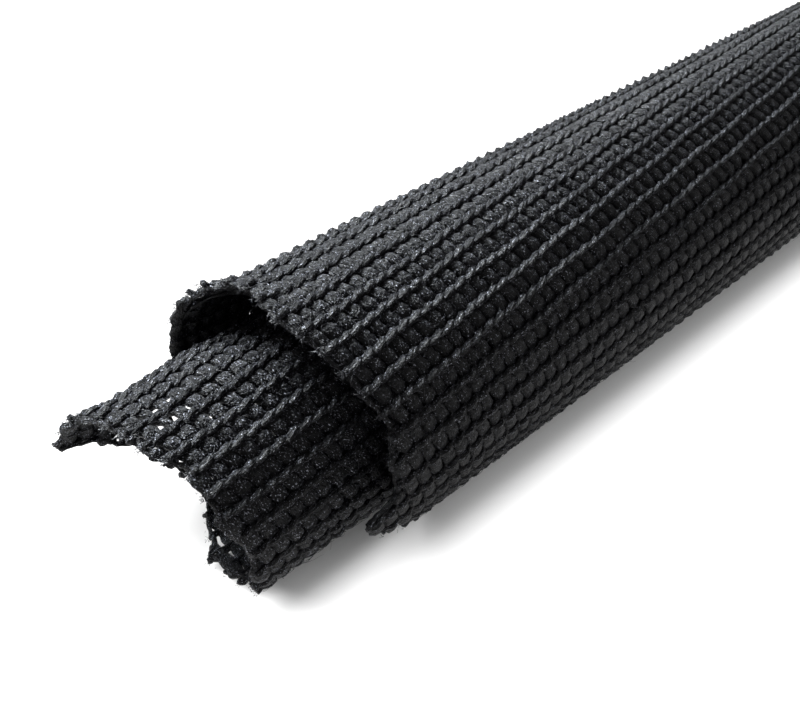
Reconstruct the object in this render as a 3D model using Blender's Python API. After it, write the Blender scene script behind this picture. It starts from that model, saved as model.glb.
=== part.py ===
"""Knitted black cable sleeving, cut from stock.

A larger tube has a smaller tube of the same fabric pushed into it. They lie along X, with the ragged,
scissor-cut end at low X and the square cut at high X. The origin is on the floor, under the middle of
the sleeve. Angles round a tube run from +Y towards +Z.
"""
import math

import bmesh
import bpy

# Driving sizes, in metres
OUTER_BORE = 0.0254             # inside of the larger tube, one inch
OUTER_WALL = 0.0010             # its fabric, ropes included
OUTER_LENGTH = 0.3048           # one foot, from the mean of the ragged cut to the square cut
OUTER_STRIP_WIDTH = 0.0060      # flat strip that the larger tube rests on
NESTING_CLEARANCE = 0.00205     # all round, between the larger tube's bore and the smaller tube
INNER_WALL = 0.0010             # the smaller tube's fabric
INNER_PROUD = 0.0140            # how far the smaller tube stands out of the larger tube's ragged end
INNER_STRIP_WIDTH = 0.0030      # flat strip along the smaller tube's underside
INNER_SIDE_SHIFT = 0.0009       # the smaller tube lies a little to the +Y side
SEAT_GAP = 0.0003               # between the smaller tube and the wall it rests on
DROOP = 0.0006                  # how far the proud end of the smaller tube sinks
PINCH = 0.07                    # share of its height that the proud end loses

# The ragged cuts: angle in degrees, and how far the edge stands back from the tube's mean cut, in metres.
# The tubes were cut while pressed flat, so each has an ear at either side and a hollow between them.
OUTER_CUT = (
    (0, 0.0006),
    (6, -0.0008),
    (18, -0.0012),
    (42, -0.0018),
    (60, -0.0015),
    (78, -0.0005),
    (102, -0.0018),
    (120, -0.0007),
    (138, 0.0002),
    (156, 0.0016),
    (168, 0.0008),
    (180, 0.0011),
    (186, 0.0013),
    (192, -0.0013),
    (198, -0.0003),
    (216, 0.0060),
    (234, 0.0100),
    (252, 0.0130),
    (288, 0.0135),
    (330, 0.0080),
)
INNER_CUT = (
    (12, 0.0027),
    (18, 0.0006),
    (24, -0.0013),
    (36, -0.0014),
    (54, -0.0012),
    (72, -0.0013),
    (84, -0.0013),
    (96, -0.0011),
    (108, -0.0009),
    (114, -0.0003),
    (120, 0.0006),
    (138, 0.0006),
    (150, 0.0008),
    (162, 0.0018),
    (180, 0.0024),
    (204, 0.0034),
    (216, 0.0042),
    (228, 0.0053),
    (240, 0.0062),
    (270, 0.0066),
    (276, 0.0062),
    (282, 0.0078),
    (312, 0.0106),
    (342, 0.0085),
)

# Fineness of the meshes
SIDES = 60                      # straight facets round a tube
CUT_RINGS = 7                   # rings that ease the ragged edge into square ones
CUT_REACH = 0.0220              # how far back from its mean cut a tube's rings become square
BODY_RINGS = 8                  # rings along the plain length

# What follows from the sizes above
OUTER_RADIUS = OUTER_BORE / 2 + OUTER_WALL
INNER_RADIUS = OUTER_BORE / 2 - NESTING_CLEARANCE
OUTER_CUT_X = 0.0               # the mean cuts, before the origin moves to the middle of the sleeve
INNER_CUT_X = OUTER_CUT_X - INNER_PROUD
FAR_X = OUTER_CUT_X + OUTER_LENGTH


def axis_height(radius, strip_width):
    """Height of a tube's centre line above its own flat strip."""
    return math.sqrt(radius ** 2 - (strip_width / 2) ** 2)


OUTER_AXIS_Z = axis_height(OUTER_RADIUS, OUTER_STRIP_WIDTH)
INNER_AXIS_Z = OUTER_WALL + SEAT_GAP + axis_height(INNER_RADIUS, INNER_STRIP_WIDTH)
MIDDLE_X = (INNER_CUT_X + min(step for _, step in INNER_CUT) + FAR_X) / 2


def eased(t):
    """Rises smoothly from 0 at t = 0 to 1 at t = 1."""
    t = min(max(t, 0.0), 1.0)
    return t * t * (3 - 2 * t)


def cut_step(cut, degrees):
    """How far the ragged edge stands back at this angle."""
    turns = [(angle - 360, step) for angle, step in cut[-1:]] + list(cut) + [(cut[0][0] + 360, cut[0][1])]
    for (low, step_low), (high, step_high) in zip(turns, turns[1:]):
        if low <= degrees <= high:
            return step_low + (step_high - step_low) * eased((degrees - low) / (high - low))
    return cut_step(cut, degrees - 360)


def section(radius, strip_width, degrees):
    """A point of a round section with a flat strip at its foot."""
    angle = math.radians(degrees)
    return radius * math.cos(angle), max(radius * math.sin(angle), -axis_height(radius, strip_width))


def outer_point(x, degrees):
    y, z = section(OUTER_RADIUS, OUTER_STRIP_WIDTH, degrees)
    return x, y, OUTER_AXIS_Z + z


def inner_point(x, degrees):
    y, z = section(INNER_RADIUS, INNER_STRIP_WIDTH, degrees)
    # the proud end sinks and is pinched a little flat
    proud = eased((OUTER_CUT_X - x) / INNER_PROUD)
    height = z * (1 - PINCH * proud)
    return x, INNER_SIDE_SHIFT + y, INNER_AXIS_Z + height - DROOP * proud


def skin(name, point, cut, cut_x):
    """The outer skin of a tube: square rings joined up, the first one drawn out to the ragged edge."""
    mesh = bpy.data.meshes.new(name)
    bm = bmesh.new()
    square_x = cut_x + CUT_REACH
    shares = [i / CUT_RINGS for i in range(CUT_RINGS)]
    body = [square_x + (FAR_X - square_x) * i / BODY_RINGS for i in range(BODY_RINGS + 1)]
    rings = []
    for ring in range(CUT_RINGS + len(body)):
        corners = []
        for side in range(SIDES):
            degrees = 360 * side / SIDES
            if ring < CUT_RINGS:
                edge_x = cut_x + cut_step(cut, degrees)
                x = edge_x + (square_x - edge_x) * shares[ring]
            else:
                x = body[ring - CUT_RINGS]
            across = point(x, degrees)
            corners.append(bm.verts.new((across[0] - MIDDLE_X, across[1], across[2])))
        rings.append([bm.edges.new((corners[i - 1], corners[i])) for i in range(SIDES)])
    for near, far in zip(rings, rings[1:]):
        bmesh.ops.bridge_loops(bm, edges=near + far)
    bmesh.ops.recalc_face_normals(bm, faces=bm.faces)
    bm.to_mesh(mesh)
    bm.free()
    return mesh


def black_fabric(name, roughness):
    """Matt black polyester yarn."""
    material = bpy.data.materials.new(name)
    material.use_nodes = True
    shader = material.node_tree.nodes["Principled BSDF"]
    shader.inputs["Base Color"].default_value = (0.018, 0.018, 0.021, 1.0)
    shader.inputs["Roughness"].default_value = roughness
    shader.inputs["Metallic"].default_value = 0.0
    return material


def tube(name, mesh, wall, material):
    """A tube whose fabric lies inside its skin."""
    body = bpy.data.objects.new(name, mesh)
    bpy.context.scene.collection.objects.link(body)
    body.data.materials.append(material)
    body.data.shade_smooth()
    fabric = body.modifiers.new("fabric", "SOLIDIFY")
    fabric.thickness = wall
    fabric.offset = -1.0
    fabric.use_even_offset = True
    return body


def main():
    for old in list(bpy.data.objects):
        bpy.data.objects.remove(old, do_unlink=True)
    outer_skin = skin("outer_skin", outer_point, OUTER_CUT, OUTER_CUT_X)
    inner_skin = skin("inner_skin", inner_point, INNER_CUT, INNER_CUT_X)
    tube("outer_sleeve", outer_skin, OUTER_WALL, black_fabric("outer_fabric", 0.75))
    tube("inner_sleeve", inner_skin, INNER_WALL, black_fabric("inner_fabric", 0.75))


main()
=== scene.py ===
# Black knitted cable sleeving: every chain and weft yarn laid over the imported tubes, with frayed cuts
import math

import bpy
import numpy as np
from mathutils import Matrix, Vector
from mathutils.bvhtree import BVHTree


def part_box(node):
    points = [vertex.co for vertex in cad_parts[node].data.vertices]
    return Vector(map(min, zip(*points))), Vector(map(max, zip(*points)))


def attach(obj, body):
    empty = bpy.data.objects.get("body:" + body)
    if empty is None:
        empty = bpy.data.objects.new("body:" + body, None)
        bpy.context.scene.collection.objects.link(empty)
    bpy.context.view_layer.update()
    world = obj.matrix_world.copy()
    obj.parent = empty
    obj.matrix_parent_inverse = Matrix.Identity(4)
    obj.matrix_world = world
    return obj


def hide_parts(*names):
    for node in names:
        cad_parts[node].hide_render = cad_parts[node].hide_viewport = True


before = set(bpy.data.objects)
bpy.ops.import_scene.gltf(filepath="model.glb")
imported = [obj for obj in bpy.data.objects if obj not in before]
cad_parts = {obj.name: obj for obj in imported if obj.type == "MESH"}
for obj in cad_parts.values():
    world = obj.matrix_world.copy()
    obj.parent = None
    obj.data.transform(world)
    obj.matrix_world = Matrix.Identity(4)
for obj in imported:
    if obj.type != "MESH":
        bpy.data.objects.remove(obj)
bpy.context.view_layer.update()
dice = np.random.default_rng(41)

# What both tubes share. Lengths are in metres, angles round a tube run from +Y towards +Z.
knit = {
    "rowPitch": 0.00163,        # from one weft yarn to the next, along the tube, before stretching
    "stretch": 0.19,            # how much longer the rows are away from the cut
    "stretchPlace": 0.026,
    "stretchSpread": 0.005,
    "twist": -7.3,              # the chains wind round the tube, in radians for each metre
    "skew": 0.0039,             # the rows lean over, furthest at this angle
    "skewAngle": math.radians(185),
    "lumps": 0.09,              # share by which the yarns' surface is uneven
    "overlap": 0.00035,         # how far one stretch of a weft yarn runs into the next
    "pressed": 0.0002,          # what reaches lower than this is pressed flat on the table
}
outerTube = {
    "node": "outer_sleeve", "chains": 36, "feeds": 8, "firstAngle": 0.03, "pinchHalfWidth": 0.00084,
    # the fabric flares a little at its cut, most at this angle
    "lip": 0.0011, "lipReach": 0.0034, "lipAngle": math.radians(72), "lipSpread": math.radians(62),
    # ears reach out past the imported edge: angle, spread and length
    "ears": [(math.radians(193), math.radians(11), 0.0011)],
    # ribbons inside the yarns close the chinks near the cut: first angle, last angle and half width
    "lining": [(math.radians(10), math.radians(95), 0.0042)],
    "worn": [],
}
innerTube = {
    "node": "inner_sleeve", "chains": 29, "feeds": 7, "firstAngle": 0.11, "pinchHalfWidth": 0.00081,
    "lip": 0.0005, "lipReach": 0.0040, "lipAngle": math.radians(60), "lipSpread": math.radians(70),
    "ears": [(math.radians(22), math.radians(11), 0.0008), (math.radians(207), math.radians(14), 0.0005)],
    "lining": [(math.radians(8), math.radians(62), 0.0016)],
    # spots where the yarns have thinned: place along the tube, angle, reach and share lost
    "worn": [
        (0.0012, math.radians(91), 0.0010, 0.72), (0.0013, math.radians(105), 0.0010, 0.72),
        (0.0043, math.radians(87), 0.0010, 0.72), (0.0043, math.radians(98), 0.0010, 0.72),
        (0.0085, math.radians(0), 0.0028, 0.75), (0.0110, math.radians(2), 0.0028, 0.75),
        (0.0115, math.radians(301), 0.0010, 0.60), (0.0106, math.radians(288), 0.0010, 0.55),
        (0.0097, math.radians(275), 0.0010, 0.55),
    ],
    "wornRadius": 0.0106,       # turns an angle between two spots into a length
}


def smooth(t):
    t = np.clip(t, 0.0, 1.0)
    return t * t * (3 - 2 * t)


def angleApart(angle, other):
    return np.abs(np.mod(angle - other + math.pi, 2 * math.pi) - math.pi)


# How finely a packed tube is felt out with rays
feeler = {"columns": 120, "rows": 200, "inset": 0.0001, "edgeStep": 0.00015, "justPast": 0.00005}


# The skin of a packed tube: its radius, and where its ragged edge lies, at each angle
def readSkin(tube):
    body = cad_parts[tube["node"]]
    low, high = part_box(tube["node"])
    tree = BVHTree.FromPolygons([v.co for v in body.data.vertices], [p.vertices for p in body.data.polygons])
    midY, midZ = (low.y + high.y) / 2, (low.z + high.z) / 2
    angles = np.arange(feeler["columns"]) * 2 * math.pi / feeler["columns"]

    def outside(x, angle):
        way = Vector((0, math.cos(angle), math.sin(angle)))
        spot, _, _, near = tree.ray_cast(Vector((x, midY, midZ)), way)
        if spot is None:
            return None
        _, _, _, far = tree.ray_cast(spot + way * feeler["justPast"], way)
        return None if far is None else near + feeler["justPast"] + far

    places = np.linspace(low.x + feeler["inset"], high.x - feeler["inset"], feeler["rows"])
    radii = np.zeros((len(places), len(angles)))
    for column, angle in enumerate(angles):
        last = (high.y - low.y) / 2
        for row in range(len(places) - 1, -1, -1):
            found = outside(places[row], angle)
            last = found or last
            radii[row, column] = last
    edge = np.zeros(len(angles))
    for column, angle in enumerate(angles):
        x = low.x
        while outside(x, angle) is None:
            x += feeler["edgeStep"]
        edge[column] = x
    tube.update(places=places, radii=radii, edge=edge, midY=midY, midZ=midZ, lowX=low.x, farX=high.x)


# The columns on both sides of an angle, and how far it lies from the first to the second
def columnsAt(angle):
    turn = np.mod(angle, 2 * math.pi) / (2 * math.pi) * feeler["columns"]
    first = np.floor(turn).astype(int) % feeler["columns"]
    return first, (first + 1) % feeler["columns"], turn - np.floor(turn)


# Where the ragged edge lies, with its ears
def edgeAt(tube, angle):
    first, second, share = columnsAt(angle)
    edge = tube["edge"][first] * (1 - share) + tube["edge"][second] * share
    for middle, spread, length in tube["ears"]:
        edge = edge - length * smooth(1 - angleApart(angle, middle) / spread)
    return edge


def radiusAt(tube, x, angle):
    places, radii = tube["places"], tube["radii"]
    across = np.clip((x - places[0]) / (places[1] - places[0]), 0, len(places) - 1.001)
    row = across.astype(int)
    rowShare = across - row
    first, second, share = columnsAt(angle)
    near = radii[row, first] * (1 - share) + radii[row, second] * share
    far = radii[row + 1, first] * (1 - share) + radii[row + 1, second] * share
    return near * (1 - rowShare) + far * rowShare


# A place on the fabric, this deep under its skin
def onTube(tube, x, angle, depth):
    x, angle = np.broadcast_arrays(np.asarray(x, float), np.asarray(angle, float))
    apart = angleApart(angle, tube["lipAngle"])
    flare = smooth(1 - apart / tube["lipSpread"])
    lip = tube["lip"] * flare * smooth(1 - (x - edgeAt(tube, angle)) / tube["lipReach"])
    radius = radiusAt(tube, x, angle) + lip - depth
    return np.stack([x, tube["midY"] + radius * np.cos(angle), tube["midZ"] + radius * np.sin(angle)], -1)


# Straight out of a tube, at each angle
def outwardAt(angle):
    return np.stack([0 * angle, np.cos(angle), np.sin(angle)], -1)


# The angles of a closed yarn's rings, of which the last lies on the first
def roundAngles(stations):
    return np.arange(stations + 1) * 2 * math.pi / stations


# Across a yarn and along the fabric, at each of its rings
def acrossYarn(middle, outward, closed=False):
    along = np.gradient(middle, axis=0)
    if closed:
        along[0] = along[-1] = along[0] + along[-1]
    sideways = np.cross(along, outward)
    return sideways / np.linalg.norm(sideways, axis=1)[:, None]


# Rows are evenly spaced along the slack knit, which this stretches and slackAt lets go again
def stretched(slack):
    spread = knit["stretchSpread"]
    return slack + knit["stretch"] * spread * np.logaddexp(0, (slack - knit["stretchPlace"]) / spread)


slackTable = np.linspace(-0.02, 0.34, 1500)     # a little more than the stock's length


def slackAt(x):
    return np.interp(x, stretched(slackTable), slackTable)


def pitchAt(x):
    return 1 + knit["stretch"] / (1 + np.exp(-(x - knit["stretchPlace"]) / knit["stretchSpread"]))


def leanAt(angle):
    return knit["skew"] * np.sin(angle - knit["skewAngle"])


def addObject(name, data):
    body = bpy.data.objects.new(name, data)
    bpy.context.scene.collection.objects.link(body)
    return body


def addPiece(name, mesh, material):
    mesh.validate()
    mesh.shade_smooth()
    mesh.materials.append(material)
    return addObject(name, mesh)


# Collects closed yarns into one mesh, with each point's place inside its yarn
class YarnMesh:
    def __init__(self):
        self.points, self.places, self.tones, self.quads, self.caps, self.ways = [], [], [], [], [], []
        self.count = 0

    def add(self, middles, sideways, outwards, sides, tone=0.5, lumps=0.0):
        # all three have a row for each ring, and sideways and outwards give its half sizes
        rings = len(middles)
        turn = np.arange(sides) * 2 * math.pi / sides
        cosine, sine = np.cos(turn)[None, :, None], np.sin(turn)[None, :, None]
        uneven = 1 + lumps * dice.normal(0, 1, (rings, sides, 1)).clip(-2, 2)
        ring = middles[:, None, :] + (sideways[:, None, :] * cosine + outwards[:, None, :] * sine) * uneven
        height, pressed = ring[..., 2], knit["pressed"]
        flat = pressed * np.exp(np.minimum(height / pressed - 1, 0))
        ring[..., 2] = np.where(height < pressed, flat, height)
        along = np.concatenate([[0], np.cumsum(np.linalg.norm(np.diff(middles, axis=0), axis=1))])
        # each yarn starts at its own place in the filaments' pattern
        along = along + dice.uniform(0, 0.5)
        place = np.empty((rings, sides, 3))
        place[..., 0] = along[:, None]
        place[..., 1] = np.linalg.norm(sideways, axis=1)[:, None] * np.cos(turn)[None, :]
        place[..., 2] = np.linalg.norm(outwards, axis=1)[:, None] * np.sin(turn)[None, :]
        way = np.gradient(middles, axis=0)
        way /= np.linalg.norm(way, axis=1)[:, None]
        index = self.count + np.arange(rings * sides).reshape(rings, sides)
        following = np.roll(index, -1, axis=1)
        self.points.append(ring.reshape(-1, 3))
        self.places.append(place.reshape(-1, 3))
        self.ways.append(np.repeat(way, sides, axis=0))
        self.tones.append(np.repeat(np.broadcast_to(np.asarray(tone, float), (rings,)), sides))
        self.quads.append(np.stack([index[:-1], following[:-1], following[1:], index[1:]], -1).reshape(-1, 4))
        self.caps += [index[0][::-1], index[-1]]
        self.count += rings * sides

    def build(self, name, material):
        quads = np.concatenate(self.quads)
        corners = np.concatenate([quads.reshape(-1)] + self.caps)
        sizes = np.concatenate([np.full(len(quads), 4), [len(c) for c in self.caps]])
        mesh = bpy.data.meshes.new(name)
        mesh.vertices.add(self.count)
        mesh.vertices.foreach_set("co", np.concatenate(self.points).astype(np.float32).ravel())
        mesh.loops.add(len(corners))
        mesh.loops.foreach_set("vertex_index", corners.astype(np.int32))
        mesh.polygons.add(len(sizes))
        mesh.polygons.foreach_set("loop_start", np.concatenate([[0], np.cumsum(sizes)[:-1]]).astype(np.int32))
        mesh.update(calc_edges=True)
        piece = addPiece(name, mesh, material)
        for label, rows in (("yarnPlace", self.places), ("yarnWay", self.ways)):
            spot = mesh.attributes.new(label, "FLOAT_VECTOR", "POINT")
            spot.data.foreach_set("vector", np.concatenate(rows).astype(np.float32).ravel())
        tone = mesh.attributes.new("yarnTone", "FLOAT", "POINT")
        tone.data.foreach_set("value", np.concatenate(self.tones).astype(np.float32))
        print(f"{name}: {int((sizes - 2).sum())} triangles")
        return piece


# The runs of stations where keep is true and long enough to show, each as a slice
def runsOf(keep):
    ends = np.flatnonzero(np.diff(np.concatenate([[False], keep, [False]]).astype(int)))
    return [slice(a, b) for a, b in zip(ends[::2], ends[1::2]) if b - a >= 3]


# How many rings each ring of a run is from the nearer end
def fromEnds(run):
    count = np.arange(run.stop - run.start)
    return np.minimum(count, count[::-1])


# One number from -1 to 1 for each knot of the knit, the same each time it is asked for
def wobble(seed, *numbers):
    total = np.full(np.broadcast(*numbers).shape, float(seed))
    for step, number in enumerate(numbers):
        total = total + np.asarray(number) * (12.9898 + 65.233 * step)
    turned = np.sin(total) * 43758.5453
    return (turned - np.floor(turned)) * 2 - 1


# How much of its width a yarn has lost here
def wornAt(tube, x, angle):
    lost = 0 * x
    for place, middle, reach, share in tube["worn"]:
        along = (x - tube["lowX"] - place) / reach
        around = angleApart(angle, middle) * tube["wornRadius"] / reach
        lost = np.maximum(lost, share * np.exp(-along ** 2 - around ** 2))
    return lost


# A weft yarn puffs out between two chains and is pinched under them
weft = {
    "puffDepth": 0.00049,       # its middle under the tube's skin
    "pinchDepth": 0.00074,
    "puffHalfWidth": 0.00077,   # along the tube
    "puffHalfHeight": 0.00042,
    "pinchHalfHeight": 0.00030,
    "fullness": 0.7,            # the lower, the further a puff stays wide towards the chains
    "roundness": 1.1,           # the same for its height
    "setback": 0.00030,         # from the cut to the yarns' ends
    "ragged": 0.00015,
    "unevenPlace": 0.00007,
    "unevenSize": 0.09,
    "unevenDepth": 0.00004,
    "lastRing": 0.55,           # shares of its size that are left at a yarn's end
    "nextRing": 0.9,
    "margin": 0.004,            # columns this far outside a stretch are looked at too
}


# Each weft yarn winds round the tube
def layWeft(tube, yarns, startX, endX, stations, sides):
    pitch, chains, feeds = knit["rowPitch"], tube["chains"], tube["feeds"]
    climb = pitch * feeds / chains
    for feed in range(feeds):
        margin = knit["skew"] + weft["margin"]
        low = math.floor((slackAt(startX - tube["lowX"] - margin) - feed * pitch) / climb) - 1
        high = math.ceil((slackAt(endX - tube["lowX"] + margin) - feed * pitch) / climb) + 1
        column = low + np.arange((high - low) * stations + 1) / stations
        roundAngle = tube["firstAngle"] + column * 2 * math.pi / chains
        slack = feed * pitch + column * climb
        x = tube["lowX"] + stretched(slack)
        for _ in range(3):
            lean = leanAt(roundAngle + knit["twist"] * (x - tube["lowX"]))
            x = tube["lowX"] + stretched(slack + lean)
        cell = np.floor(column + 1e-9)      # a station on a chain belongs to what follows it
        between = column - cell
        puff = np.sin(math.pi * between) ** weft["fullness"]
        dome = np.sin(math.pi * between) ** weft["roundness"]
        x = x + wobble(3, cell, feed) * weft["unevenPlace"] * puff
        angle = roundAngle + knit["twist"] * (x - tube["lowX"])
        keep = (x >= startX - knit["overlap"]) & (x < endX)
        ragged = weft["ragged"] * wobble(5, np.floor(column * 2), feed)
        keep &= x > edgeAt(tube, angle) + weft["setback"] + ragged
        swell = 1 + weft["unevenSize"] * wobble(7, cell, feed) * puff
        depth = weft["pinchDepth"] + (weft["puffDepth"] - weft["pinchDepth"]) * dome
        depth = depth - weft["unevenDepth"] * wobble(9, cell, feed) * puff
        halfWidth = (tube["pinchHalfWidth"] + (weft["puffHalfWidth"] - tube["pinchHalfWidth"]) * puff) * swell
        halfWidth = halfWidth * pitchAt(x - tube["lowX"]) * (1 - wornAt(tube, x, angle))
        halfHeight = weft["pinchHalfHeight"] + (weft["puffHalfHeight"] - weft["pinchHalfHeight"]) * dome
        halfHeight = halfHeight * swell
        tone = 0.5 + 0.5 * wobble(11, cell, feed)
        for run in runsOf(keep):
            middle = onTube(tube, x[run], angle[run], depth[run])
            outward = outwardAt(angle[run])
            sideways = acrossYarn(middle, outward)
            ends = fromEnds(run)
            taper = np.where(ends == 0, weft["lastRing"], np.where(ends == 1, weft["nextRing"], 1.0))
            wide, high = (halfWidth[run] * taper)[:, None], (halfHeight[run] * taper)[:, None]
            yarns.add(middle, sideways * wide, outward * high, sides, tone[run], lumps=knit["lumps"])


# A chain's two strands wind round each other, so that each row shows one slanted stitch
chain = {
    "depth": 0.00025,           # middle of a chain under the skin
    "strand": 0.00025,          # radius of one of its strands
    "swing": 0.00015,           # how far a strand winds off the chain's middle, sideways
    "rise": 0.00013,            # and outwards
    "swell": 0.40,              # share by which a strand is thicker where it is on top
    "nod": 0.00004,             # how far the whole chain rises at each row
    "snakes": ((0.006, 0.9, 1), (0.004, 0.37, 2.1)),    # reach as an angle, pace by rows, shift by chains
    "setback": 0.00010,
    "ragged": 0.00016,
    "lastRing": 0.6,
    "unevenSwing": 0.2,
    "unevenSize": 0.12,
    "lumpier": 1.3,             # times as lumpy as a weft yarn
    "wearsBy": 0.5,             # share of the weft yarns' wear
    "brush": 0.35,              # share by which the cut end has swollen
    "brushReach": 0.0010,
    "sunk": 0.00017,            # how much deeper chains lie low on the camera's side, where they are slack
    "sunkShare": 0.22,          # and how much thinner they are there
    "sunkAngle": math.radians(215),
    "sunkSpread": math.radians(68),
    "longer": 0.75,             # half sizes of two strands drawn as one, from swing and strand
    "shorter": 1.05,
    "backDepth": 0.00092,       # the thin strand inside the tube
    "backStrand": 0.00014,
    "backSwell": 0.25,
}


def runChains(tube, yarns, startX, endX, stations, sides, twoStrands=True, back=False):
    pitch = knit["rowPitch"]
    climb = pitch * tube["feeds"] / tube["chains"]
    for number in range(tube["chains"]):
        x = np.arange(startX, endX + pitch / stations / 2, pitch / stations)
        start = tube["firstAngle"] + number * 2 * math.pi / tube["chains"]
        angle = start + knit["twist"] * (x - tube["lowX"])
        row = (slackAt(x - tube["lowX"]) - leanAt(angle) - number * climb) / pitch
        for reach, pace, shift in chain["snakes"]:
            angle = angle + reach * np.sin(row * pace + shift * number)
        keep = x > edgeAt(tube, angle) + chain["setback"] + chain["ragged"] * wobble(13, number, 1)
        for run in runsOf(keep):
            taper = np.where(fromEnds(run) == 0, chain["lastRing"], 1.0)
            outward = outwardAt(angle[run])
            if back:
                middle = onTube(tube, x[run], angle[run], chain["backDepth"])
                sideways = acrossYarn(middle, outward)
                swell = 1 + chain["backSwell"] + chain["backSwell"] * np.cos(2 * math.pi * row[run])
                size = chain["backStrand"] * taper * swell
                yarns.add(middle, sideways * size[:, None], outward * size[:, None], sides, 0.4)
                continue
            sunk = smooth(1 - angleApart(angle[run], chain["sunkAngle"]) / chain["sunkSpread"])
            middle = onTube(tube, x[run], angle[run], chain["depth"] + chain["sunk"] * sunk)
            middle = middle + outward * (chain["nod"] * np.cos(2 * math.pi * row[run]))[:, None]
            sideways = acrossYarn(middle, outward)
            taper = taper * (1 - chain["sunkShare"] * sunk)
            spin = math.pi * row[run]
            if twoStrands:
                worn = wornAt(tube, x[run], angle[run])
                brush = smooth(1 - (x[run] - edgeAt(tube, angle[run])) / chain["brushReach"])
                for strand in range(2):
                    lift = np.cos(spin + strand * math.pi)
                    side = np.sin(spin + strand * math.pi)
                    stitch = np.floor(row[run] + strand)
                    reach = chain["swing"] * (1 + chain["unevenSwing"] * wobble(15, stitch, number))
                    centre = middle + outward * (lift * chain["rise"])[:, None]
                    centre = centre - sideways * (side * reach)[:, None]
                    size = chain["strand"] * taper * (1 + chain["swell"] * lift)
                    size = size * (1 + chain["unevenSize"] * wobble(17, stitch, number))
                    size = size * (1 - chain["wearsBy"] * worn) * (1 + chain["brush"] * brush)
                    tone = 0.5 + 0.5 * wobble(19, stitch, number)
                    wide, high = sideways * size[:, None], outward * size[:, None]
                    yarns.add(centre, wide, high, sides, tone, lumps=knit["lumps"] * chain["lumpier"])
            else:
                long = (chain["strand"] + chain["swing"] * chain["longer"]) * taper
                short = chain["strand"] * chain["shorter"] * taper
                wide = outward * np.cos(spin)[:, None] - sideways * np.sin(spin)[:, None]
                thin = outward * np.sin(spin)[:, None] + sideways * np.cos(spin)[:, None]
                tone = 0.5 + 0.5 * wobble(19, np.floor(row[run]), number)
                yarns.add(middle, wide * long[:, None], thin * short[:, None], sides, tone)


# A matted strand that closes the cut edge under the loose ones
matted = {
    "stations": 320, "sides": 6, "setback": 0.00052, "depth": 0.00070,
    "halfWidth": 0.00024, "halfHeight": 0.00026, "tone": 0.1, "lumps": 0.24,
}


def layMatted(tube, yarns):
    angle = roundAngles(matted["stations"])
    middle = onTube(tube, edgeAt(tube, angle) + matted["setback"], angle, matted["depth"])
    outward = outwardAt(angle)
    wide = acrossYarn(middle, outward, closed=True) * matted["halfWidth"]
    high = outward * matted["halfHeight"]
    yarns.add(middle, wide, high, matted["sides"], matted["tone"], lumps=matted["lumps"])


# The cut's own edge, where the severed weft yarns have matted into a few wandering strands
rim = {
    "strands": 3, "stations": 300, "sides": 4, "nearest": 0.00034, "furthest": 0.00072,
    "shallow": 0.00066, "deep": 0.00088, "spare": 0.0001, "thin": 0.00006, "thick": 0.00011, "lumps": 0.12,
    "sway": 0.00026,            # long waves along the tube, about twelve in a turn
    "quiver": 0.00012,          # short ones, about forty
    "dive": 0.00022,            # and waves in depth
}


def layRim(tube, yarns):
    angle = roundAngles(rim["stations"])
    outward = outwardAt(angle)

    def wander(strand, turns, seed):
        total = 0 * angle
        for turn in range(turns, turns * 3, max(1, turns // 3)):
            total = total + np.sin(turn * angle + 3 * wobble(seed, strand, turn)) / math.sqrt(turns)
        return total

    for strand in range(rim["strands"]):
        share = (strand + 0.5) / rim["strands"]
        # the strands take their places in a mixed order
        x = edgeAt(tube, angle) + rim["nearest"] + (rim["furthest"] - rim["nearest"]) * ((share * 2.6) % 1)
        x = x + rim["sway"] * wander(strand, 12, 23) + rim["quiver"] * wander(strand, 40, 25)
        x = np.maximum(x, edgeAt(tube, angle) + rim["nearest"])
        depth = rim["shallow"] + (rim["deep"] - rim["shallow"]) * share + rim["dive"] * wander(strand, 17, 27)
        middle = onTube(tube, x, angle, np.clip(depth, rim["shallow"] - rim["spare"], rim["deep"]))
        sideways = acrossYarn(middle, outward, closed=True)
        swell = 0.5 + 0.5 * np.sin(angle * 9 + strand * 2.3)
        size = rim["thin"] + (rim["thick"] - rim["thin"]) * swell[:, None]
        size[-1] = size[0]
        tone = 0.25 + 0.25 * np.sin(angle * 14 + strand)
        yarns.add(middle, sideways * size, outward * size, rim["sides"], tone, lumps=rim["lumps"])


# Flat ribbons inside the yarns, near the ragged cut and at the square one
lining = {"stations": 60, "sides": 8, "setback": 0.0007, "depth": 0.00058, "halfHeight": 0.00006}
binding = {
    "stations": 120, "sides": 8, "setback": 0.0009, "depth": 0.00062, "halfHeight": 0.0001,
    "halfWidth": 0.0008,
}


def layRibbon(tube, yarns, x, angle, halfWidth, ribbon):
    sideways = np.stack([0 * x + 1, 0 * x, 0 * x], -1) * halfWidth
    middle = onTube(tube, x, angle, ribbon["depth"])
    yarns.add(middle, sideways, outwardAt(angle) * ribbon["halfHeight"], ribbon["sides"], 0.0)


def layLining(tube, yarns):
    for first, last, halfWidth in tube["lining"]:
        angle = np.linspace(first, last, lining["stations"])
        layRibbon(tube, yarns, edgeAt(tube, angle) + lining["setback"] + halfWidth, angle, halfWidth, lining)


def bindFarEnd(tube, yarns):
    angle = roundAngles(binding["stations"])
    x = 0 * angle + tube["farX"] - binding["setback"]
    layRibbon(tube, yarns, x, angle, binding["halfWidth"], binding)


# The inner tube's unseen middle: a plain closed wall of the fabric
wall = {"rings": 40, "sides": 58, "outside": 0.00012, "inside": 0.00088}


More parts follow.
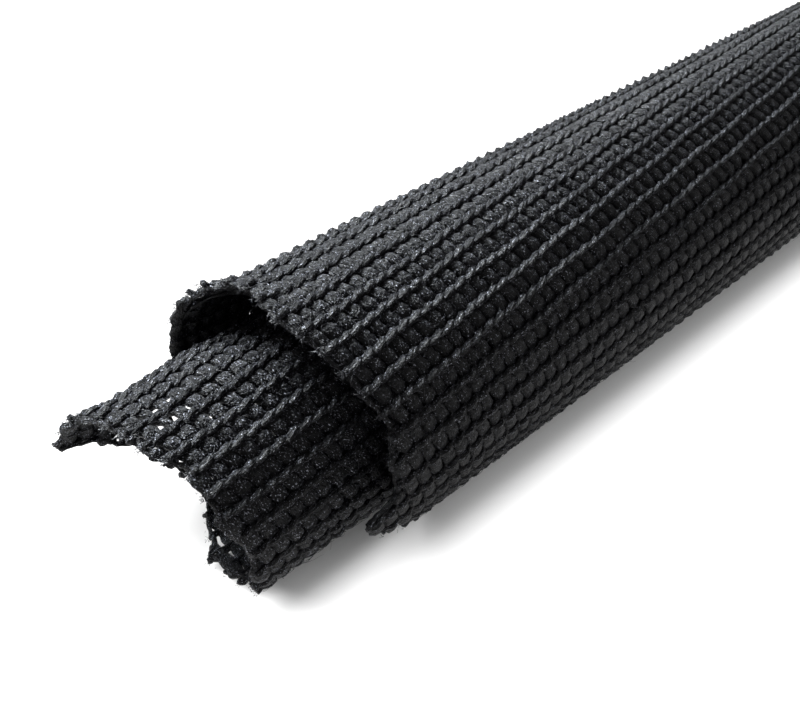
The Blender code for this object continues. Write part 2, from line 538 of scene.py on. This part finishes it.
def wallBetween(tube, startX, endX, name, material):
    rings, sides = wall["rings"], wall["sides"]
    angle = np.arange(sides) * 2 * math.pi / sides
    gridX, gridAngle = np.meshgrid(np.linspace(startX, endX, rings), angle, indexing="ij")
    layers = [onTube(tube, gridX, gridAngle, wall[layer]).reshape(-1, 3) for layer in ("outside", "inside")]
    index = np.arange(rings * sides).reshape(rings, sides)
    following = np.roll(index, -1, axis=1)
    skin = np.stack([index[:-1], following[:-1], following[1:], index[1:]], -1).reshape(-1, 4)
    half = rings * sides
    ends = []
    for ring, flip in ((0, False), (rings - 1, True)):
        quad = np.stack([index[ring], index[ring] + half, following[ring] + half, following[ring]], -1)
        ends.append(quad[:, ::-1] if flip else quad)
    quads = np.concatenate([skin, skin[:, ::-1] + half] + ends)
    mesh = bpy.data.meshes.new(name)
    mesh.from_pydata(np.concatenate(layers).tolist(), [], quads.tolist())
    print(f"{name}: {len(quads) * 2} triangles")
    return addPiece(name, mesh, material)


# Fibres

forwards = np.array([-1.0, 0, 0])               # out of the ragged end
slant = np.array([0.31, 0.57, 0.76])            # a direction that hardly any fibre runs in


# Straight out of a tube, and round it, at one angle
def facing(angle):
    return np.array([0, math.cos(angle), math.sin(angle)]), np.array([0, -math.sin(angle), math.cos(angle)])


def cutAt(tube, angle):
    return float(edgeAt(tube, np.array(angle)))


def addFibre(yarns, start, way, bend, length, thickness, rings=5, tone=0.8):
    way = way / np.linalg.norm(way)
    share = np.linspace(0, 1, rings)[:, None]
    middle = start + way * length * share + bend * length * share ** 2
    along = np.gradient(middle, axis=0)
    along /= np.linalg.norm(along, axis=1)[:, None]
    helper = np.cross(along, slant)
    helper /= np.linalg.norm(helper, axis=1)[:, None]
    size = thickness * (1 - fraying["thins"] * share)
    yarns.add(middle, helper * size, np.cross(helper, along) * size, 3, tone)


# Loose filaments of the cut. A pair gives lowest and highest, or a middle and how far they stray from it.
fraying = {
    "length": (0.0002, 0.0006),
    "thickness": 0.000022,
    "perChain": 18,                     # at each chain's cut end
    "thins": 0.6,                       # share of its thickness that a filament loses to its tip
    "brushThickness": 0.000036,
    "brushFewest": 0.3,                 # share of them on the underside
    "brushPlace": (-0.0003, 0.0003),
    "brushAngle": 0.018,
    "brushDepth": (-0.00005, 0.0005),
    "brushAside": 0.45,
    "brushOutwards": (0.12, 0.35),
    "brushBend": (0.5, (-0.1, 0.4)),    # aside and outwards
    "perMillimetre": 4.0,               # along the cut between the chains
    "shortestShare": 0.4,               # of their length, on the underside
    "place": (0.0001, 0.0009),
    "depth": (0.0, 0.0007),
    "forwards": (0.1, 1.0),
    "aside": 1.0,
    "outwards": (0.1, 0.3),
    "bend": (0.6, (0.3, 0.4), (-0.1, 0.3)),     # aside, forwards and outwards
}


def frayCut(tube, yarns):
    for number in range(tube["chains"]):
        start = tube["firstAngle"] + number * 2 * math.pi / tube["chains"]
        angle = start
        for _ in range(4):
            angle = start + knit["twist"] * (cutAt(tube, angle) - tube["lowX"])
        fewest = fraying["brushFewest"]
        upward = fewest + (1 - fewest) * max(0.0, math.sin(angle))
        outward, tangent = facing(angle)
        for _ in range(int(fraying["perChain"] * upward)):
            x = cutAt(tube, angle) + dice.uniform(*fraying["brushPlace"])
            spotAngle = angle + dice.normal(0, fraying["brushAngle"])
            spot = onTube(tube, x, spotAngle, dice.uniform(*fraying["brushDepth"]))
            way = forwards + tangent * dice.normal(0, fraying["brushAside"])
            way = way + outward * dice.normal(*fraying["brushOutwards"])
            aside, bendOut = fraying["brushBend"]
            bend = tangent * dice.normal(0, aside) + outward * dice.normal(*bendOut)
            length = dice.uniform(*fraying["length"]) * upward
            addFibre(yarns, spot, way, bend, length, fraying["brushThickness"])
    around = 2 * math.pi * tube["radii"].mean() * 1000      # in millimetres
    for _ in range(int(around * fraying["perMillimetre"])):
        angle = dice.uniform(0, 2 * math.pi)
        x = cutAt(tube, angle) + dice.uniform(*fraying["place"])
        spot = onTube(tube, x, angle, dice.uniform(*fraying["depth"]))
        outward, tangent = facing(angle)
        way = forwards * dice.uniform(*fraying["forwards"]) + tangent * dice.normal(0, fraying["aside"])
        way = way + outward * dice.normal(*fraying["outwards"])
        aside, bendForwards, bendOut = fraying["bend"]
        bend = tangent * dice.normal(0, aside) + forwards * dice.normal(*bendForwards)
        bend = bend + outward * dice.normal(*bendOut)
        shortest = fraying["shortestShare"]
        share = shortest + (1 - shortest) * max(0.0, math.sin(angle))
        length = dice.uniform(*fraying["length"]) * share
        addFibre(yarns, spot, way, bend, length, fraying["thickness"])


# Fine hairs that stand off the fabric
stray = {
    "clear": 0.001,             # how far from the cut they begin
    "depth": (0.00002, 0.0002), "length": (0.0006, 0.0018), "thickness": 0.7,
    "outwards": (0.3, 0.3), "bendAside": 0.5, "bendInwards": (0.5, 0.2),
}


def strayFibres(tube, yarns, startX, endX, count):
    for _ in range(count):
        angle = dice.uniform(0, 2 * math.pi)
        x = dice.uniform(startX, endX)
        if x < cutAt(tube, angle) + stray["clear"]:
            continue
        spot = onTube(tube, x, angle, dice.uniform(*stray["depth"]))
        outward, tangent = facing(angle)
        way = np.array([dice.normal(0, 1), 0, 0]) + tangent * dice.normal(0, 1)
        way = way + outward * abs(dice.normal(*stray["outwards"]))
        bend = tangent * dice.normal(0, stray["bendAside"])
        bend = bend + np.array([dice.normal(0, stray["bendAside"]), 0, 0])
        bend = bend - outward * abs(dice.normal(*stray["bendInwards"]))
        length = dice.uniform(*stray["length"])
        addFibre(yarns, spot, way, bend, length, fraying["thickness"] * stray["thickness"], rings=4)


# Filaments that have sprung out of the crimped yarns and lie over them in short arcs
sprung = {
    "clear": 0.0004, "depth": (0.00002, 0.00016), "length": (0.00035, 0.0012), "rise": (0.00004, 0.00014),
    "sway": 0.0001, "waves": (1, 2.5), "thickness": (0.6, 1.0), "tone": (0.2, 1.0), "rings": 5,
}


def fuzz(tube, yarns, startX, endX, count):
    for _ in range(count):
        angle = dice.uniform(0, 2 * math.pi)
        x = dice.uniform(startX, endX)
        if x < cutAt(tube, angle) + sprung["clear"]:
            continue
        spot = onTube(tube, x, angle, dice.uniform(*sprung["depth"]))
        outward, tangent = facing(angle)
        heading = dice.uniform(0, 2 * math.pi)
        way = np.array([math.cos(heading), 0, 0]) + tangent * math.sin(heading)
        across = np.cross(outward, way)
        length = dice.uniform(*sprung["length"])
        share = np.linspace(0, 1, sprung["rings"])[:, None]
        rise = dice.uniform(*sprung["rise"]) * 4 * share * (1 - share)
        sway = dice.normal(0, sprung["sway"]) * np.sin(share * math.pi * dice.uniform(*sprung["waves"]))
        middle = spot + way * length * (share - 0.5) + outward * rise + across * sway
        size = fraying["thickness"] * dice.uniform(*sprung["thickness"])
        sideways = np.repeat(across[None], sprung["rings"], 0) * size
        outwards = np.repeat(outward[None], sprung["rings"], 0) * size
        yarns.add(middle, sideways, outwards, 3, dice.uniform(*sprung["tone"]))


# Materials

def mathNode(nodes, operation, kind="ShaderNodeMath"):
    node = nodes.new(kind)
    node.operation = operation
    return node


def rangeNode(nodes, results, limits=(0.0, 1.0)):
    node = nodes.new("ShaderNodeMapRange")
    node.inputs["From Min"].default_value, node.inputs["From Max"].default_value = limits
    node.inputs["To Min"].default_value, node.inputs["To Max"].default_value = results
    return node


def pointValue(nodes, name):
    node = nodes.new("ShaderNodeAttribute")
    node.attribute_name = name
    return node


# Filaments of a multifilament yarn: fine ridges along the yarn, crimped, with glinting high spots, which the
# yarn material paints into the base colour as painted highlights and makes smoother
filament = {
    "crimpScale": 1300.0, "crimpDetail": 1.0, "ridgeDetail": 2.0, "sparkDetail": 1.0, "noiseRoughness": 0.6,
    "sparkFiner": 1.35,         # times as fine as the ridges
    "sparkLevel": 0.76,         # less the sparkle, this is how high the noise must be for a glint
    "sparkRise": 0.09,
}
filamentInputs = ("Ridges", "Stretch", "Crimp", "Sparkle")


def filamentGroup():
    group = bpy.data.node_groups.new("yarnFilaments", "ShaderNodeTree")
    group.interface.new_socket(name="Place", socket_type="NodeSocketVector", in_out="INPUT")
    for name in filamentInputs:
        group.interface.new_socket(name=name, socket_type="NodeSocketFloat", in_out="INPUT")
    for name in ("Height", "Glint"):
        group.interface.new_socket(name=name, socket_type="NodeSocketFloat", in_out="OUTPUT")
    nodes, links = group.nodes, group.links
    entry, leave = nodes.new("NodeGroupInput"), nodes.new("NodeGroupOutput")

    crimp = nodes.new("ShaderNodeTexNoise")
    crimp.inputs["Scale"].default_value = filament["crimpScale"]
    crimp.inputs["Detail"].default_value = filament["crimpDetail"]
    links.new(entry.outputs["Place"], crimp.inputs["Vector"])
    centred = mathNode(nodes, "SUBTRACT", "ShaderNodeVectorMath")
    centred.inputs[1].default_value = (0.5, 0.5, 0.5)
    links.new(crimp.outputs["Color"], centred.inputs[0])
    swayed = mathNode(nodes, "SCALE", "ShaderNodeVectorMath")
    links.new(centred.outputs["Vector"], swayed.inputs[0])
    links.new(entry.outputs["Crimp"], swayed.inputs["Scale"])
    moved = mathNode(nodes, "ADD", "ShaderNodeVectorMath")
    links.new(entry.outputs["Place"], moved.inputs[0])
    links.new(swayed.outputs["Vector"], moved.inputs[1])

    # Noise drawn out along the yarn
    def drawn(scaleOut, detail, stretchOut):
        squeezed = nodes.new("ShaderNodeCombineXYZ")
        squeezed.inputs["Y"].default_value = 1.0
        squeezed.inputs["Z"].default_value = 1.0
        links.new(stretchOut, squeezed.inputs["X"])
        shaped = mathNode(nodes, "MULTIPLY", "ShaderNodeVectorMath")
        links.new(moved.outputs["Vector"], shaped.inputs[0])
        links.new(squeezed.outputs["Vector"], shaped.inputs[1])
        noise = nodes.new("ShaderNodeTexNoise")
        noise.inputs["Detail"].default_value = detail
        noise.inputs["Roughness"].default_value = filament["noiseRoughness"]
        links.new(shaped.outputs["Vector"], noise.inputs["Vector"])
        links.new(scaleOut, noise.inputs["Scale"])
        return noise.outputs["Fac"]

    ridges = drawn(entry.outputs["Ridges"], filament["ridgeDetail"], entry.outputs["Stretch"])
    links.new(ridges, leave.inputs["Height"])
    finer = mathNode(nodes, "MULTIPLY")
    finer.inputs[1].default_value = filament["sparkFiner"]
    links.new(entry.outputs["Ridges"], finer.inputs[0])
    rounder = mathNode(nodes, "SQRT")
    links.new(entry.outputs["Stretch"], rounder.inputs[0])
    sparks = drawn(finer.outputs["Value"], filament["sparkDetail"], rounder.outputs["Value"])
    level = mathNode(nodes, "SUBTRACT")
    level.inputs[0].default_value = filament["sparkLevel"]
    links.new(entry.outputs["Sparkle"], level.inputs[1])
    above = mathNode(nodes, "ADD")
    above.inputs[1].default_value = filament["sparkRise"]
    links.new(level.outputs["Value"], above.inputs[0])
    high = nodes.new("ShaderNodeMapRange")
    links.new(level.outputs["Value"], high.inputs["From Min"])
    links.new(above.outputs["Value"], high.inputs["From Max"])
    links.new(sparks, high.inputs["Value"])
    links.new(high.outputs["Result"], leave.inputs["Glint"])
    return group


filaments = filamentGroup()
# Where the painted glints thin out, along the sleeve and towards its underside, which the back lamp leaves in
# shade, and the share left along it
paintedGlintFade = {"start": -0.125, "end": -0.02, "share": 0.2, "low": 0.009, "high": 0.021}
# How the yarns' own tones and a cloudy noise mix the dark and the light shade
mottled = {"cloudScale": 260.0, "cloudDetail": 3.0, "toneShare": 0.5, "cloudShare": 0.7}
finish = {
    "glintSmoother": 0.10,      # how much less rough the glinting filaments are
    "reliefDepth": 0.00050,
    "turn": 0.25,               # the highlights stretch across the filaments, a quarter turn from their way
}


def yarnMaterial(name, look):
    material = bpy.data.materials.new(name)
    material.use_nodes = True
    nodes, links = material.node_tree.nodes, material.node_tree.links
    shader = nodes["Principled BSDF"]
    place = pointValue(nodes, "yarnPlace")
    tone = pointValue(nodes, "yarnTone")
    fibres = nodes.new("ShaderNodeGroup")
    fibres.node_tree = filaments
    for name in filamentInputs:
        fibres.inputs[name].default_value = look[name.lower()]
    links.new(place.outputs["Vector"], fibres.inputs["Place"])

    cloud = nodes.new("ShaderNodeTexNoise")
    cloud.inputs["Scale"].default_value = mottled["cloudScale"]
    cloud.inputs["Detail"].default_value = mottled["cloudDetail"]
    where = nodes.new("ShaderNodeTexCoord")
    links.new(where.outputs["Object"], cloud.inputs["Vector"])
    mixed = mathNode(nodes, "MULTIPLY_ADD")
    mixed.inputs[1].default_value = mottled["toneShare"]
    links.new(tone.outputs["Fac"], mixed.inputs[0])
    fainter = mathNode(nodes, "MULTIPLY")
    fainter.inputs[1].default_value = mottled["cloudShare"]
    links.new(cloud.outputs["Fac"], fainter.inputs[0])
    links.new(fainter.outputs["Value"], mixed.inputs[2])
    colour = nodes.new("ShaderNodeMix")
    colour.data_type = "RGBA"
    colour.inputs["A"].default_value = look["dark"]
    colour.inputs["B"].default_value = look["light"]
    links.new(mixed.outputs["Value"], colour.inputs["Factor"])
    # fewer painted glints away from the cut, and fewer on the underside, which the back lamp does not light
    apart = nodes.new("ShaderNodeSeparateXYZ")
    links.new(where.outputs["Object"], apart.inputs["Vector"])
    calmer = rangeNode(nodes, (1.0, paintedGlintFade["share"]), (paintedGlintFade["start"], paintedGlintFade["end"]))
    links.new(apart.outputs["X"], calmer.inputs["Value"])
    below = rangeNode(nodes, (look["paintedGlintsBelow"], 1.0), (paintedGlintFade["low"], paintedGlintFade["high"]))
    links.new(apart.outputs["Z"], below.inputs["Value"])
    share = mathNode(nodes, "MULTIPLY")
    links.new(calmer.outputs["Result"], share.inputs[0])
    links.new(below.outputs["Result"], share.inputs[1])
    # painted highlight: the filament glints are painted into the base colour as bright specks, whatever light
    # falls on them
    paintedGlintShare = mathNode(nodes, "MULTIPLY")
    links.new(fibres.outputs["Glint"], paintedGlintShare.inputs[0])
    links.new(share.outputs["Value"], paintedGlintShare.inputs[1])
    paintedGlintMix = nodes.new("ShaderNodeMix")
    paintedGlintMix.data_type = "RGBA"
    paintedGlintMix.inputs["B"].default_value = look["paintedGlint"]
    links.new(paintedGlintShare.outputs["Value"], paintedGlintMix.inputs["Factor"])
    links.new(colour.outputs["Result"], paintedGlintMix.inputs["A"])
    links.new(paintedGlintMix.outputs["Result"], shader.inputs["Base Color"])

    rough = rangeNode(nodes, (look["roughness"], look["roughness"] - finish["glintSmoother"]))
    links.new(fibres.outputs["Glint"], rough.inputs["Value"])
    links.new(rough.outputs["Result"], shader.inputs["Roughness"])
    relief = nodes.new("ShaderNodeBump")
    relief.inputs["Strength"].default_value = look["relief"]
    relief.inputs["Distance"].default_value = finish["reliefDepth"]
    links.new(fibres.outputs["Height"], relief.inputs["Height"])
    links.new(relief.outputs["Normal"], shader.inputs["Normal"])
    way = pointValue(nodes, "yarnWay")
    links.new(way.outputs["Vector"], shader.inputs["Tangent"])
    shader.inputs["Anisotropic"].default_value = look["acrossFibres"]
    shader.inputs["Anisotropic Rotation"].default_value = finish["turn"]
    shader.inputs["Specular IOR Level"].default_value = look["specular"]
    return material


weftYarn = {
    "ridges": 7000.0, "stretch": 0.36, "crimp": 0.00020, "sparkle": 0.11, "relief": 1.0, "roughness": 0.33,
    "specular": 0.26, "acrossFibres": 0.7, "paintedGlintsBelow": 0.12,
    "dark": (0.0026, 0.0026, 0.0034, 1), "light": (0.005, 0.0052, 0.0064, 1), "paintedGlint": (0.62, 0.64, 0.74, 1),
}
chainYarn = {
    "ridges": 8000.0, "stretch": 0.36, "crimp": 0.00014, "sparkle": 0.125, "relief": 1.0, "roughness": 0.33,
    "specular": 0.26, "acrossFibres": 0.5, "paintedGlintsBelow": 0.6,
    "dark": (0.003, 0.003, 0.0038, 1), "light": (0.006, 0.0063, 0.0078, 1), "paintedGlint": (0.62, 0.64, 0.74, 1),
}
# painted sheen: the loose filaments are coloured lighter than the black yarns, standing in for their glint
looseFibrePaintedSheen = {
    "ridges": 5000.0, "stretch": 0.2, "crimp": 0.0, "sparkle": 0.15, "relief": 0.2, "roughness": 0.30,
    "specular": 0.5, "acrossFibres": 0.0, "paintedGlintsBelow": 0.6,
    "dark": (0.010, 0.010, 0.012, 1), "light": (0.040, 0.040, 0.046, 1), "paintedGlint": (0.20, 0.20, 0.23, 1),
}
weftLook = yarnMaterial("blackWeft", weftYarn)
# the smaller tube keeps its painted glints on its underside too, and has a few more of them
innerWeftLook = yarnMaterial("blackInnerWeft", {**weftYarn, "sparkle": 0.125, "paintedGlintsBelow": 1.0})
chainLook = yarnMaterial("blackChain", chainYarn)
fibreLook = yarnMaterial("looseFibrePaintedSheen", looseFibrePaintedSheen)


# The tubes, in stretches that get plainer away from the ragged end
print("reading the packed tubes")
readSkin(outerTube)
readSkin(innerTube)

pieces = []


def finishPiece(piece, node):
    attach(piece, "root")
    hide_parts(node)
    pieces.append(piece)


# Stations for each column or row, and sides, of a stretch's yarns. Ends are measured from a tube's tip.
outerStretches = {
    "front": {"end": 0.036, "weft": (8, 8), "chains": (8, 6), "twoStrands": True},
    "middle": {"end": 0.104, "weft": (5, 6), "chains": (5, 4), "twoStrands": True},
    "back": {"end": 0.204, "weft": (4, 6), "chains": (3, 4), "twoStrands": False},
    "tail": {"end": 1.0, "weft": (4, 5), "chains": (3, 4), "twoStrands": False},
}
innerStretches = {
    "front": {"end": 0.032, "weft": (7, 8), "chains": (6, 6)},
    "far": {"length": 0.008, "weft": (4, 6), "chains": (4, 5)},
}
# the yarns begin a little ahead of the tip, and the thin strands inside end out of sight
inside = {"end": 0.020, "chains": (3, 4)}
ahead = 0.002
wallLap = 0.001                 # how far the plain wall runs in under the yarns at both its ends

print("laying the outer tube's yarns")
start = outerTube["lowX"] - ahead
for name, plan in outerStretches.items():
    end = min(outerTube["lowX"] + plan["end"], outerTube["farX"])
    yarns = YarnMesh()
    layWeft(outerTube, yarns, start, end, *plan["weft"])
    if name == "front":
        layMatted(outerTube, yarns)
        layRim(outerTube, yarns)
        layLining(outerTube, yarns)
    if end == outerTube["farX"]:
        bindFarEnd(outerTube, yarns)
    finishPiece(yarns.build(f"outer_weft_{name}", weftLook), "outer_sleeve")
    yarns = YarnMesh()
    runChains(outerTube, yarns, start, end, *plan["chains"], twoStrands=plan["twoStrands"])
    if name == "front":
        runChains(outerTube, yarns, start, outerTube["lowX"] + inside["end"], *inside["chains"], back=True)
    finishPiece(yarns.build(f"outer_chains_{name}", chainLook), "outer_sleeve")
    start = end

print("laying the inner tube's yarns")
front, far = innerStretches["front"], innerStretches["far"]
start, end = innerTube["lowX"] - ahead, innerTube["lowX"] + front["end"]
yarns = YarnMesh()
layWeft(innerTube, yarns, start, end, *front["weft"])
layMatted(innerTube, yarns)
layRim(innerTube, yarns)
layLining(innerTube, yarns)
finishPiece(yarns.build("inner_weft_front", innerWeftLook), "inner_sleeve")
yarns = YarnMesh()
runChains(innerTube, yarns, start, end, *front["chains"])
runChains(innerTube, yarns, start, innerTube["lowX"] + inside["end"], *inside["chains"], back=True)
finishPiece(yarns.build("inner_chains_front", chainLook), "inner_sleeve")
start = innerTube["farX"] - far["length"]
wallPiece = wallBetween(innerTube, end - wallLap, start + wallLap, "inner_wall_middle", weftLook)
finishPiece(wallPiece, "inner_sleeve")
yarns = YarnMesh()
layWeft(innerTube, yarns, start, innerTube["farX"], *far["weft"])
runChains(innerTube, yarns, start, innerTube["farX"], *far["chains"])
bindFarEnd(innerTube, yarns)
finishPiece(yarns.build("inner_yarns_end", weftLook), "inner_sleeve")

# How many fibres, and how far from the tip they reach
scattered = {
    "outer": {"tube": outerTube, "sprung": 2600, "sprungReach": 0.045, "stray": 300, "strayReach": 0.10},
    "inner": {"tube": innerTube, "sprung": 1100, "sprungReach": 0.022, "stray": 100, "strayReach": 0.03},
}
print("fraying the cuts")
for name, plan in scattered.items():
    tube, tip = plan["tube"], plan["tube"]["lowX"]
    yarns = YarnMesh()
    frayCut(tube, yarns)
    fuzz(tube, yarns, tip, tip + plan["sprungReach"], plan["sprung"])
    strayFibres(tube, yarns, tip, tip + plan["strayReach"], plan["stray"])
    finishPiece(yarns.build(f"{name}_loose_fibres", fibreLook), f"{name}_sleeve")

# Floor, light and camera
print("setting the stage")
studio = {
    "floorSize": 0.68, "floorRoughness": 0.9, "floorSpecular": 0.1, "white": (1.0, 1.0, 1.0, 1),
    "floorShade": 0.86,         # as the camera sees the floor
    "bounceShade": 0.38,        # and as it lights the yarns
    "air": 0.275,
}
view = {
    # the eye, measured from the middle of the larger tube's ragged mouth
    "eye": (-0.05562, -0.06509, 0.06398),
    "right": (0.6702, -0.7422, 0.0),
    "up": (0.4114, 0.3715, 0.8323),
    "lens": 54.0, "sensor": 36.0, "nearest": 0.005, "furthest": 20.0,
    "stockLength": 0.3048,
}
mesh = bpy.data.meshes.new("floor")
half = studio["floorSize"] / 2
mesh.from_pydata([(-half, -half, 0), (half, -half, 0), (half, half, 0), (-half, half, 0)], [], [(0, 1, 2, 3)])
floor = addObject("floor", mesh)
paper = bpy.data.materials.new("palePaper")
paper.use_nodes = True
paperNodes, paperLinks = paper.node_tree.nodes, paper.node_tree.links
paperShader = paperNodes["Principled BSDF"]
# the overlit floor would brighten the yarns from below, so it is greyer where it only lights them
watched = paperNodes.new("ShaderNodeLightPath")
paperMix = paperNodes.new("ShaderNodeMix")
paperMix.data_type = "RGBA"
paperMix.inputs["A"].default_value = (studio["bounceShade"],) * 3 + (1,)
paperMix.inputs["B"].default_value = (studio["floorShade"],) * 3 + (1,)
paperLinks.new(watched.outputs["Is Camera Ray"], paperMix.inputs["Factor"])
paperLinks.new(paperMix.outputs["Result"], paperShader.inputs["Base Color"])
paperShader.inputs["Roughness"].default_value = studio["floorRoughness"]
paperShader.inputs["Specular IOR Level"].default_value = studio["floorSpecular"]
mesh.materials.append(paper)

right, up = Vector(view["right"]).normalized(), Vector(view["up"]).normalized()
backward = right.cross(up)
mouth = Vector((outerTube["farX"] - view["stockLength"], outerTube["midY"], outerTube["midZ"]))
camera = addObject("camera", bpy.data.cameras.new("camera"))
camera.data.lens = view["lens"]
camera.data.sensor_width = view["sensor"]
camera.data.clip_start = view["nearest"]
camera.data.clip_end = view["furthest"]
rotation = Matrix((right, up, backward)).transposed()
camera.matrix_world = Matrix.Translation(mouth + Vector(view["eye"])) @ rotation.to_4x4()
bpy.context.scene.camera = camera


# Places and targets are measured from the mouth along X
lamps = {
    "backSoftBox": {
        "place": (0.09, 0.62, 0.74), "target": (0.03, 0, 0.01), "size": (0.80, 0.32), "watts": 47.0,
        "colour": (0.92, 0.97, 1.0), "lights": pieces, "group": "litByBack",
    },
    "floorSoftBox": {
        "place": (-0.36, -0.01, 0.62), "target": (0.06, 0, 0), "size": (0.50, 0.50), "watts": 12.0,
        "colour": (1.0, 1.0, 1.0), "lights": [floor], "group": "litFloor",
    },
    "floorFillBox": {
        "place": (0.10, -0.60, 0.80), "target": (0.10, 0, 0), "size": (1.6, 1.6), "watts": 9.4,
        "colour": (1.0, 1.0, 1.0), "lights": [floor], "group": "filledFloor",
    },
}


def fromMouth(spot):
    return Vector((mouth.x + spot[0], spot[1], spot[2]))


# Each lamp lights only what it is for, so that the black yarns are modelled and the floor stays white
for name, plan in lamps.items():
    lamp = bpy.data.lights.new(name, "AREA")
    lamp.shape = "RECTANGLE"
    lamp.size, lamp.size_y = plan["size"]
    lamp.energy = plan["watts"]
    lamp.color = plan["colour"]
    body = addObject(name, lamp)
    place, target = fromMouth(plan["place"]), fromMouth(plan["target"])
    body.location = place
    body.rotation_euler = (target - place).to_track_quat("-Z", "Y").to_euler()
    group = bpy.data.collections.new(plan["group"])
    for thing in plan["lights"]:
        group.objects.link(thing)
    body.light_linking.receiver_collection = group

# The air is dim where it lights the yarns, and white where the camera sees it behind the floor
world = bpy.data.worlds.new("studioAir")
world.use_nodes = True
airNodes, airLinks = world.node_tree.nodes, world.node_tree.links
airNodes["Background"].inputs["Color"].default_value = studio["white"]
airNodes["Background"].inputs["Strength"].default_value = studio["air"]
whiteAir = airNodes.new("ShaderNodeBackground")
whiteAir.inputs["Color"].default_value = studio["white"]
seen = airNodes.new("ShaderNodeLightPath")
airMix = airNodes.new("ShaderNodeMixShader")
airLinks.new(seen.outputs["Is Camera Ray"], airMix.inputs["Fac"])
airLinks.new(airNodes["Background"].outputs["Background"], airMix.inputs[1])
airLinks.new(whiteAir.outputs["Background"], airMix.inputs[2])
airLinks.new(airMix.outputs["Shader"], airNodes["World Output"].inputs["Surface"])
bpy.context.scene.world = world
bpy.context.scene.view_settings.view_transform = "Standard"
bpy.context.scene.view_settings.look = "None"

print("finished")
